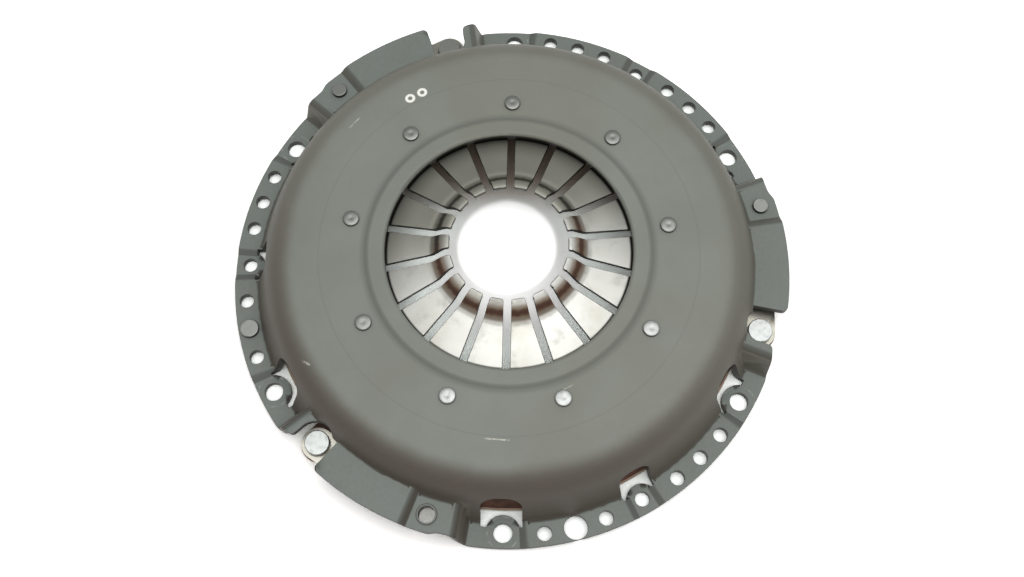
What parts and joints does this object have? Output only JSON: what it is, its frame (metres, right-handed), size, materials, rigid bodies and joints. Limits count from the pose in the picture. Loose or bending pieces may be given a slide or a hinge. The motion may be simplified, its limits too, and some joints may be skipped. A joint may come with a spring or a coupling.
{
  "type": "clutch pressure plate",
  "caption": "Push-type diaphragm spring clutch cover assembly: pressed flanged cover, fingered spring on pivot rings, cast pressure plate carried on tangential leaf straps.",
  "frame": {"origin": "on the clutch axis, in the plane of the flange's mounting face", "axes": "+Z along the clutch axis towards the release bearing and the finger tips; +X is the middle of the first strap sector; the friction face looks along -Z"},
  "size_m": [0.276, 0.2762, 0.0431],
  "materials": {
    "cover_steel": "matte grey-green phosphate coat on pressed steel",
    "spring_steel": "bright shot-peened spring steel with faint straw tints",
    "rivet_steel": "bright zinc plated",
    "strap_steel": "smooth rolled strip",
    "ring_steel": "drawn wire",
    "plate_iron": "rough casting with machined rim and friction face"
  },
  "bodies": {
    "cover": {"cover": "cover_steel", "upper_pivot_ring": "ring_steel", "lower_pivot_ring": "ring_steel", "diaphragm_spring": "spring_steel", "spring_rivets": "rivet_steel", "balance_rivet": "rivet_steel", "strap_1_leaf_1": "strap_steel", "strap_1_leaf_2": "strap_steel", "strap_1_leaf_3": "strap_steel", "strap_2_leaf_1": "strap_steel", "strap_2_leaf_2": "strap_steel", "strap_2_leaf_3": "strap_steel", "strap_3_leaf_1": "strap_steel", "strap_3_leaf_2": "strap_steel", "strap_3_leaf_3": "strap_steel", "cover_strap_rivet_1": "rivet_steel", "cover_strap_rivet_2": "rivet_steel", "hollow_strap_rivet": "rivet_steel"},
    "pressure_plate": {"pressure_plate": "plate_iron", "lug_rivet_1": "rivet_steel", "lug_rivet_2": "rivet_steel", "lug_rivet_3": "rivet_steel"}
  },
  "joints": [
    {"name": "plate_lift", "type": "slide", "parent": "cover", "child": "pressure_plate", "axis": [0, 0, 1], "range_m": [0, 0.0035], "stiffness_N_per_m": 20000, "springref_m": -0.01, "deforming": ["diaphragm_spring", "strap_1_leaf_1", "strap_1_leaf_2", "strap_1_leaf_3", "strap_2_leaf_1", "strap_2_leaf_2", "strap_2_leaf_3", "strap_3_leaf_1", "strap_3_leaf_2", "strap_3_leaf_3"]}
  ]
}
